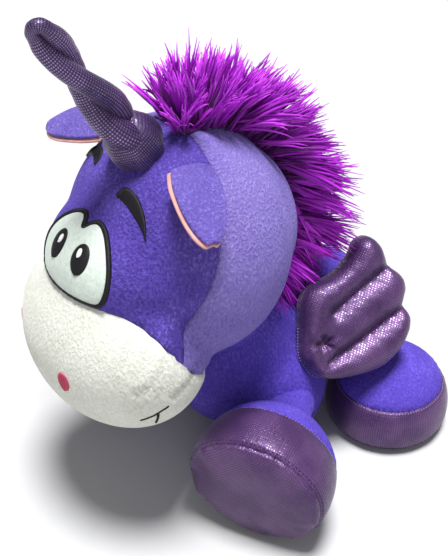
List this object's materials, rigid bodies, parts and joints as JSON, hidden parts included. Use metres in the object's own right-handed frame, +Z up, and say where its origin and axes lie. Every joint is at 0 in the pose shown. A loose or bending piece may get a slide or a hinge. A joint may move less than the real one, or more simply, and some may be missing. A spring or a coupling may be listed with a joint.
{
  "type": "plush unicorn",
  "caption": "Stuffed plush unicorn lying on its belly, with a large head, twisted horn, ears, wings, shaggy mane and tail, and round hooves.",
  "frame": {"origin": "on the floor under the middle of the toy's length and width", "axes": "+Z up out of the floor it lies on, -Y the way the nose points, +X the toy's left side"},
  "size_m": [0.297, 0.3256, 0.3745],
  "materials": {
    "plush": "short plush pile, soft and matte",
    "light_plush": "short plush pile with a slight sheen",
    "muzzle": "short cream plush pile, matte",
    "hoof": "metallic knit with small foil dots",
    "horn": "metallic knit with small foil dots, darker",
    "lining": "smooth satin knit",
    "eye_white": "embroidered satin stitch",
    "black_thread": "embroidery thread with a slight gloss",
    "white_thread": "embroidery thread with a slight gloss",
    "pink_thread": "embroidery thread with a slight gloss",
    "mane_fur": "long shaggy fur in curled locks, glossy",
    "stuffing": "loose polyester fibre"
  },
  "bodies": {
    "body": {"body_left_panel": "plush", "body_right_panel": "plush", "belly_panel": "plush", "body_stuffing": "stuffing"},
    "neck": {"neck_stuffing": "stuffing"},
    "head": {"face_panel": "plush", "back_of_head_left": "light_plush", "back_of_head_right": "light_plush", "muzzle_panel": "muzzle", "head_stuffing": "stuffing", "eye_patch": "eye_white", "eye_outline": "black_thread", "pupil_left": "black_thread", "pupil_right": "black_thread", "glint_left": "white_thread", "glint_right": "white_thread", "nostril_left": "pink_thread", "nostril_right": "pink_thread", "brow_left": "black_thread", "brow_right": "black_thread", "mouth_stitch_left": "black_thread", "mouth_stitch_right": "black_thread", "mane_backing": "mane_fur", "mane_fur": "mane_fur"},
    "horn": {"horn_cover": "horn", "horn_stuffing": "stuffing"},
    "ear_left": {"ear_left_cover": "light_plush", "ear_left_lining": "lining"},
    "ear_right": {"ear_right_cover": "light_plush", "ear_right_lining": "lining"},
    "front_left_leg": {"front_left_leg_cover": "plush", "front_left_leg_hoof": "hoof", "front_left_leg_sole": "hoof", "front_left_leg_stuffing": "stuffing"},
    "front_right_leg": {"front_right_leg_cover": "plush", "front_right_leg_hoof": "hoof", "front_right_leg_sole": "hoof", "front_right_leg_stuffing": "stuffing"},
    "hind_left_leg": {"hind_left_leg_cover": "plush", "hind_left_leg_hoof": "hoof", "hind_left_leg_sole": "hoof", "hind_left_leg_stuffing": "stuffing"},
    "hind_right_leg": {"hind_right_leg_cover": "plush", "hind_right_leg_hoof": "hoof", "hind_right_leg_sole": "hoof", "hind_right_leg_stuffing": "stuffing"},
    "wing_left": {"wing_left_outer_panel": "hoof", "wing_left_inner_panel": "hoof", "wing_left_stuffing": "stuffing"},
    "wing_right": {"wing_right_outer_panel": "hoof", "wing_right_inner_panel": "hoof", "wing_right_stuffing": "stuffing"},
    "tail": {"tail_fur": "mane_fur"}
  },
  "joints": [
    {"name": "head_turn", "type": "hinge", "parent": "body", "child": "neck", "pos_m": [0, -0.015, 0.12], "axis": [0, 0, 1], "range_deg": [-12, 12], "stiffness_Nm_per_rad": 3},
    {"name": "head_nod", "type": "hinge", "parent": "neck", "child": "head", "pos_m": [0, -0.015, 0.12], "axis": [1, 0, 0], "range_deg": [-6, 6], "stiffness_Nm_per_rad": 6},
    {"name": "horn_bend", "type": "hinge", "parent": "head", "child": "horn", "pos_m": [0, -0.08, 0.279], "axis": [1, 0, 0], "range_deg": [-10, 10], "stiffness_Nm_per_rad": 0.4},
    {"name": "ear_left_flap", "type": "hinge", "parent": "head", "child": "ear_left", "pos_m": [0.045, -0.066, 0.273], "axis": [-0.2074, -0.969, 0.1343], "range_deg": [-8, 35], "stiffness_Nm_per_rad": 0.08},
    {"name": "ear_right_flap", "type": "hinge", "parent": "head", "child": "ear_right", "pos_m": [-0.045, -0.066, 0.273], "axis": [-0.2074, 0.969, -0.1343], "range_deg": [-16, 27], "stiffness_Nm_per_rad": 0.08},
    {"name": "wing_left_swing", "type": "hinge", "parent": "body", "child": "wing_left", "pos_m": [0.04515, 0.01241, 0.10367], "axis": [0.493, 0, -0.87], "range_deg": [-4, 45], "stiffness_Nm_per_rad": 0.15},
    {"name": "wing_right_swing", "type": "hinge", "parent": "body", "child": "wing_right", "pos_m": [-0.04515, 0.01241, 0.10367], "axis": [0.493, 0, 0.87], "range_deg": [-4, 45], "stiffness_Nm_per_rad": 0.15},
    {"name": "front_left_leg_lift", "type": "hinge", "parent": "body", "child": "front_left_leg", "pos_m": [0.06, 0.004, 0.05], "axis": [-1, 0, 0], "range_deg": [-6, 10], "stiffness_Nm_per_rad": 0.8},
    {"name": "front_right_leg_lift", "type": "hinge", "parent": "body", "child": "front_right_leg", "pos_m": [-0.06, 0.004, 0.05], "axis": [-1, 0, 0], "range_deg": [-6, 10], "stiffness_Nm_per_rad": 0.8},
    {"name": "hind_left_leg_swing", "type": "hinge", "parent": "body", "child": "hind_left_leg", "pos_m": [0.046, 0.092, 0.056], "axis": [1, 0, 0], "range_deg": [-12, 12], "stiffness_Nm_per_rad": 0.8},
    {"name": "hind_right_leg_swing", "type": "hinge", "parent": "body", "child": "hind_right_leg", "pos_m": [-0.046, 0.092, 0.056], "axis": [1, 0, 0], "range_deg": [-12, 12], "stiffness_Nm_per_rad": 0.8},
    {"name": "tail_swing", "type": "hinge", "parent": "body", "child": "tail", "pos_m": [0, 0.139, 0.08], "axis": [1, 0, 0], "range_deg": [-3, 40], "stiffness_Nm_per_rad": 0.03}
  ]
}
